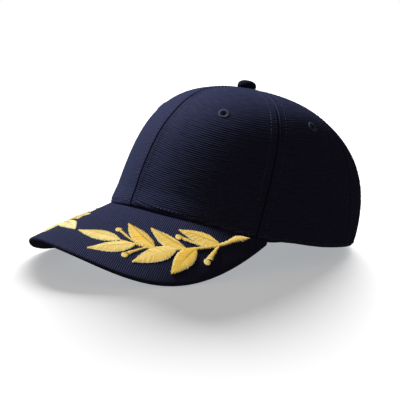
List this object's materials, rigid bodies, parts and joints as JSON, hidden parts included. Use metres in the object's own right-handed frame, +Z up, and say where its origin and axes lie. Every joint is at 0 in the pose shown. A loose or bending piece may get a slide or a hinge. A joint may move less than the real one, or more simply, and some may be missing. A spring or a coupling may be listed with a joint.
{
  "type": "captain baseball cap",
  "caption": "Panelled navy cloth cap with a curved peak, a covered top button, eyelets and a raised gold laurel branch on each side of the peak.",
  "frame": {"origin": "middle of the bounding box on the surface that the cap rests on", "axes": "+Z up, peak towards -Y, wearer's left towards +X, the cap pitched back about 9 degrees as it rests by itself"},
  "size_m": [0.171, 0.2736, 0.1292],
  "materials": {
    "navy_ribbed_cloth": "matt ribbed cotton cloth",
    "navy_twill": "matt cotton twill",
    "navy_thread": "dull polyester thread",
    "gold_thread": "shiny satin-stitched thread"
  },
  "bodies": {
    "root": {"panel_front_left": "navy_ribbed_cloth", "panel_front_right": "navy_ribbed_cloth", "panel_side_left": "navy_ribbed_cloth", "panel_side_right": "navy_ribbed_cloth", "panel_back_left": "navy_ribbed_cloth", "panel_back_right": "navy_ribbed_cloth", "peak_top_cover": "navy_ribbed_cloth", "top_button": "navy_ribbed_cloth", "peak_under_cover": "navy_twill", "sweatband": "navy_twill", "eyelet_front_left": "navy_thread", "eyelet_front_right": "navy_thread", "eyelet_side_left": "navy_thread", "eyelet_side_right": "navy_thread", "eyelet_back_left": "navy_thread", "eyelet_back_right": "navy_thread", "laurel_branch_left": "gold_thread", "laurel_branch_right": "gold_thread"}
  },
  "joints": []
}
